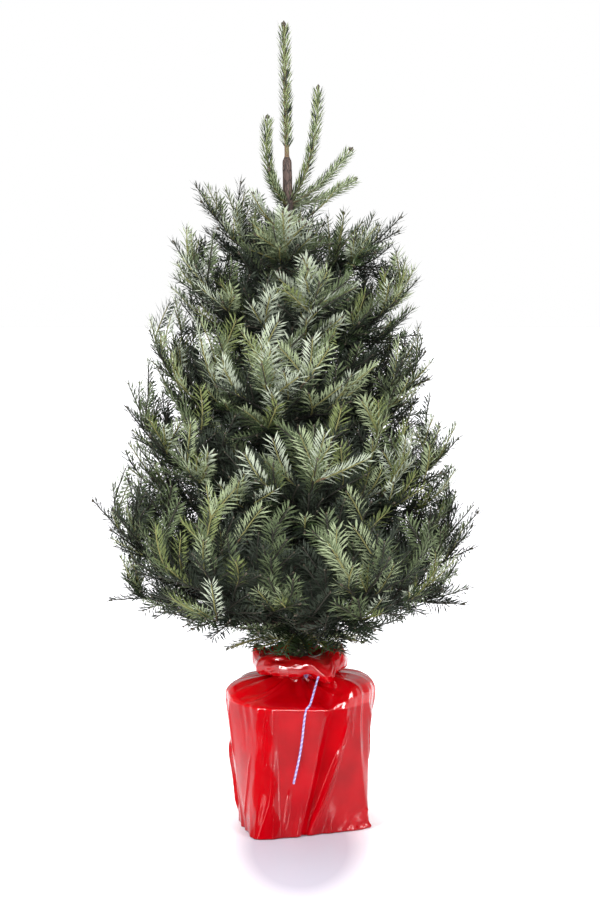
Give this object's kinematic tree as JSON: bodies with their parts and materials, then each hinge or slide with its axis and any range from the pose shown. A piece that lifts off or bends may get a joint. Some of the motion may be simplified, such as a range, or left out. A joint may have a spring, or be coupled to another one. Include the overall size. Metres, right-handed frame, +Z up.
{
  "type": "potted fir christmas tree",
  "caption": "Young potted fir used as a Christmas tree: slim leaning trunk, tiered upswept boughs, masses of needles, and a flared pot wrapped in tied glossy film.",
  "frame": {"origin": "middle of the flat underside of the pot, where it stands on the floor", "axes": "+Z up along the trunk, +X to the right of the tree as seen from its front, +Y from its front to its back"},
  "size_m": [0.6585, 0.6018, 1.363],
  "materials": {
    "film": "glossy thin film, creased",
    "string": "twisted twine",
    "bark": "rough bark, smooth on young wood",
    "needles": "waxy needles, silvery underneath"
  },
  "bodies": {
    "root": {"bough_1_back": "bark", "bough_1_front": "bark", "bough_1_left": "bark", "bough_1_right": "bark", "bough_2_back": "bark", "bough_2_front": "bark", "bough_2_left": "bark", "bough_2_right": "bark", "bough_3_back": "bark", "bough_3_front": "bark", "bough_3_left": "bark", "bough_3_right": "bark", "bough_4_back": "bark", "bough_4_front": "bark", "bough_4_left": "bark", "bough_4_right": "bark", "bough_5_back": "bark", "bough_5_front_left": "bark", "bough_5_front_right": "bark", "bough_5_left": "bark", "bough_5_right": "bark", "film_foot": "film", "film_ruff": "film", "film_shoulder": "film", "foliage_1_back": "needles", "foliage_1_front": "needles", "foliage_1_left": "needles", "foliage_1_right": "needles", "foliage_2_back": "needles", "foliage_2_front": "needles", "foliage_2_left": "needles", "foliage_2_right": "needles", "foliage_3_back": "needles", "foliage_3_front": "needles", "foliage_3_left": "needles", "foliage_3_right": "needles", "foliage_4_back": "needles", "foliage_4_front": "needles", "foliage_4_left": "needles", "foliage_4_right": "needles", "foliage_5_back": "needles", "foliage_5_front_left": "needles", "foliage_5_front_right": "needles", "foliage_5_left": "needles", "foliage_5_right": "needles", "leader_foliage": "needles", "pot": "film", "tie_band": "string", "tie_tail": "string", "top_bough_back_right": "bark", "top_bough_front": "bark", "top_bough_left": "bark", "top_bough_low_right": "bark", "top_bough_right": "bark", "top_foliage_back_right": "needles", "top_foliage_front": "needles", "top_foliage_left": "needles", "top_foliage_low_right": "needles", "top_foliage_right": "needles", "trunk": "bark"}
  },
  "joints": []
}
